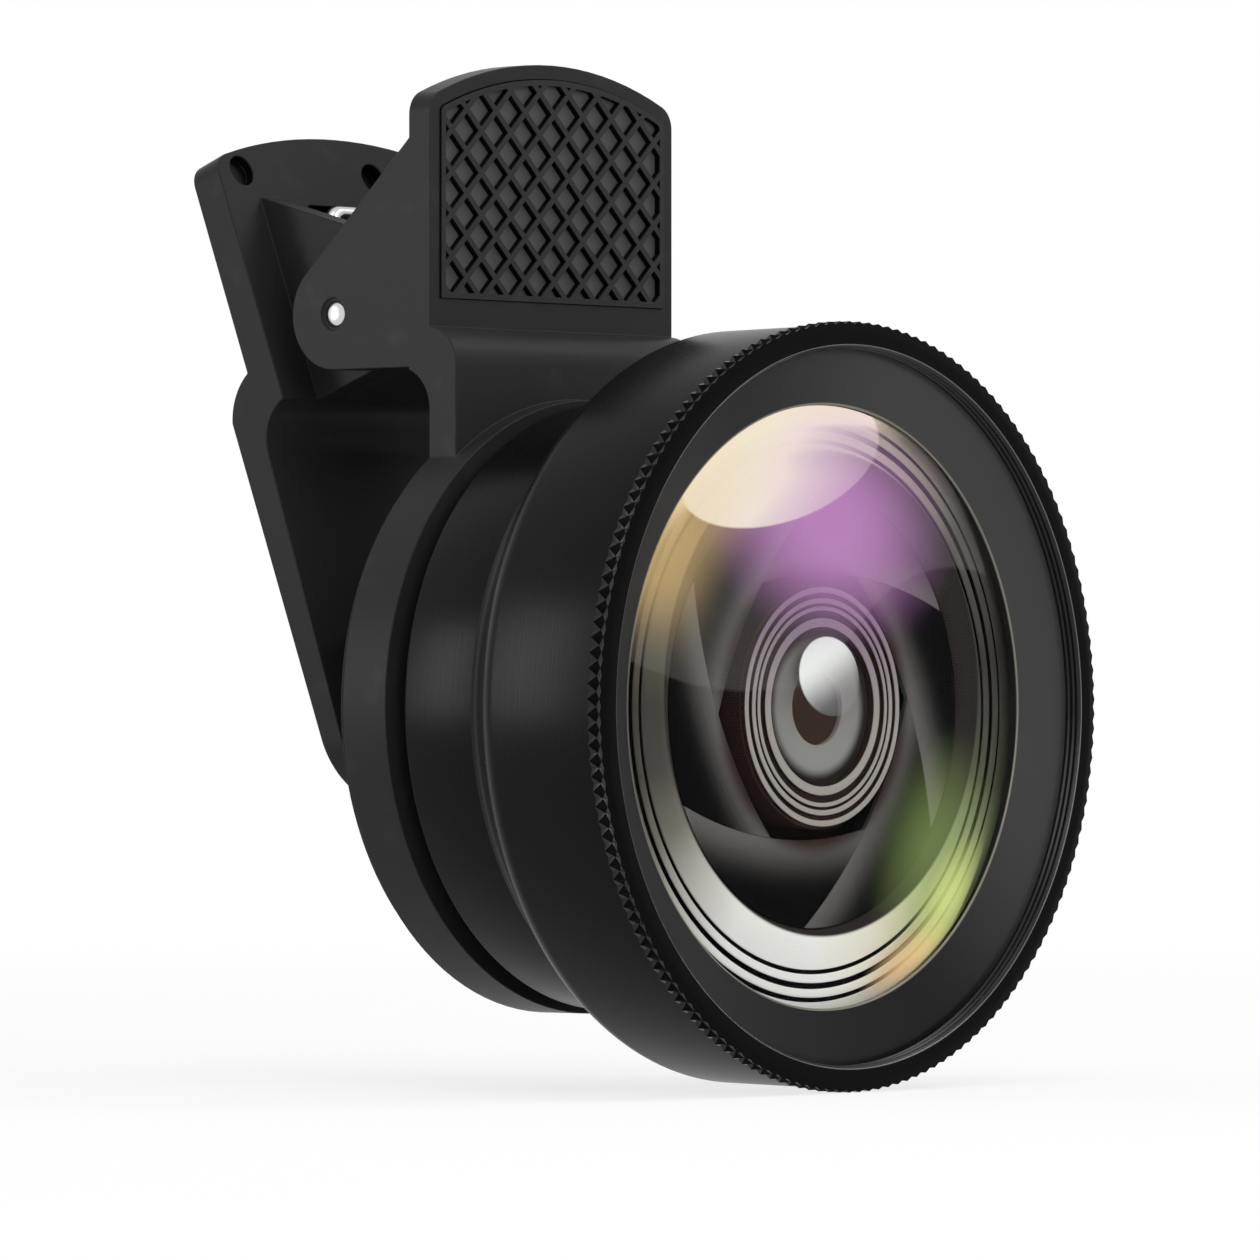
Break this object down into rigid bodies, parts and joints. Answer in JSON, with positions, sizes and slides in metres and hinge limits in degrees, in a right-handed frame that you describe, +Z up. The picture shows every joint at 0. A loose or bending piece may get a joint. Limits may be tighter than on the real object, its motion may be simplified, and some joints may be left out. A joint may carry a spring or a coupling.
{
  "type": "clip on phone lens",
  "caption": "Sprung clip with a screw-on macro lens and a wide-angle lens with a knurled front ring, to hold in front of a phone's camera.",
  "frame": {"origin": "on the lens axis, in the plane where the front jaw's pad meets the phone", "axes": "+Z up along the clip towards the handles, -Y out of the front of the lens, X along the pivot pin"},
  "size_m": [0.052, 0.0509, 0.0705],
  "materials": {
    "black_plastic": "satin black injection-moulded plastic",
    "grip_rubber": "matt black moulded rubber with a diamond pattern",
    "soft_pad": "matt soft rubber",
    "steel_pin": "turned steel pin with a bright end",
    "spring_wire": "bright drawn steel wire",
    "black_anodised": "turned aluminium, satin black anodised",
    "inner_black": "turned aluminium, matt black anodised",
    "pale_ring": "turned aluminium with bright lands and dark grooves",
    "leaf_black": "thin sheet, matt black",
    "cell_metal": "turned aluminium with fine bright rings",
    "grey_disc": "grey turned disc",
    "clear_glass": "polished clear glass",
    "coated_glass": "polished glass with a violet and green coating"
  },
  "bodies": {
    "front_clip": {"front_arm": "black_plastic", "front_thumb_grip": "grip_rubber", "front_jaw_pad": "soft_pad", "pivot_pin": "steel_pin", "torsion_spring": "spring_wire"},
    "rear_clip": {"rear_arm": "black_plastic", "rear_thumb_grip": "grip_rubber", "rear_jaw_pad": "soft_pad"},
    "macro_optics": {"macro_front_lens": "clear_glass", "macro_spacer": "inner_black", "macro_rear_lens": "clear_glass", "macro_retaining_ring": "inner_black"},
    "macro_lens": {"macro_barrel": "black_anodised"},
    "wide_optics": {"rear_lens": "clear_glass", "rear_retaining_ring": "inner_black"},
    "wide_lens": {"wide_barrel": "black_anodised", "knurled_ring": "black_anodised", "bezel_ring": "inner_black", "front_glass": "coated_glass", "ridge_ring": "pale_ring", "iris_leaf_1": "leaf_black", "iris_leaf_2": "leaf_black", "iris_leaf_3": "leaf_black", "iris_leaf_4": "leaf_black", "iris_leaf_5": "leaf_black", "iris_leaf_6": "leaf_black", "lens_cell": "cell_metal", "pupil_disc": "grey_disc", "centre_lens": "coated_glass"}
  },
  "joints": [
    {"name": "clip_pivot", "type": "hinge", "parent": "front_clip", "child": "rear_clip", "pos_m": [0, 0.0082, 0.0271], "axis": [1, 0, 0], "range_deg": [0, 35], "stiffness_Nm_per_rad": 0.12, "springref_deg": -57.3, "deforming": ["torsion_spring"]},
    {"name": "macro_slide", "type": "slide", "parent": "front_clip", "child": "macro_optics", "axis": [0, -1, 0], "range_m": [0, 0.0023]},
    {"name": "macro_turn", "type": "hinge", "parent": "macro_optics", "child": "macro_lens", "pos_m": [0, 0, 0], "axis": [0, -1, 0], "range_deg": [0, 1080]},
    {"name": "wide_slide", "type": "slide", "parent": "macro_lens", "child": "wide_optics", "axis": [0, -1, 0], "range_m": [0, 0.0023]},
    {"name": "wide_turn", "type": "hinge", "parent": "wide_optics", "child": "wide_lens", "pos_m": [0, 0, 0], "axis": [0, -1, 0], "range_deg": [0, 1080]}
  ],
  "couplings": [
    {"joint": "macro_slide", "follows": "macro_turn", "m_per_rad": 0.00011937},
    {"joint": "wide_slide", "follows": "wide_turn", "m_per_rad": 0.00011937}
  ]
}
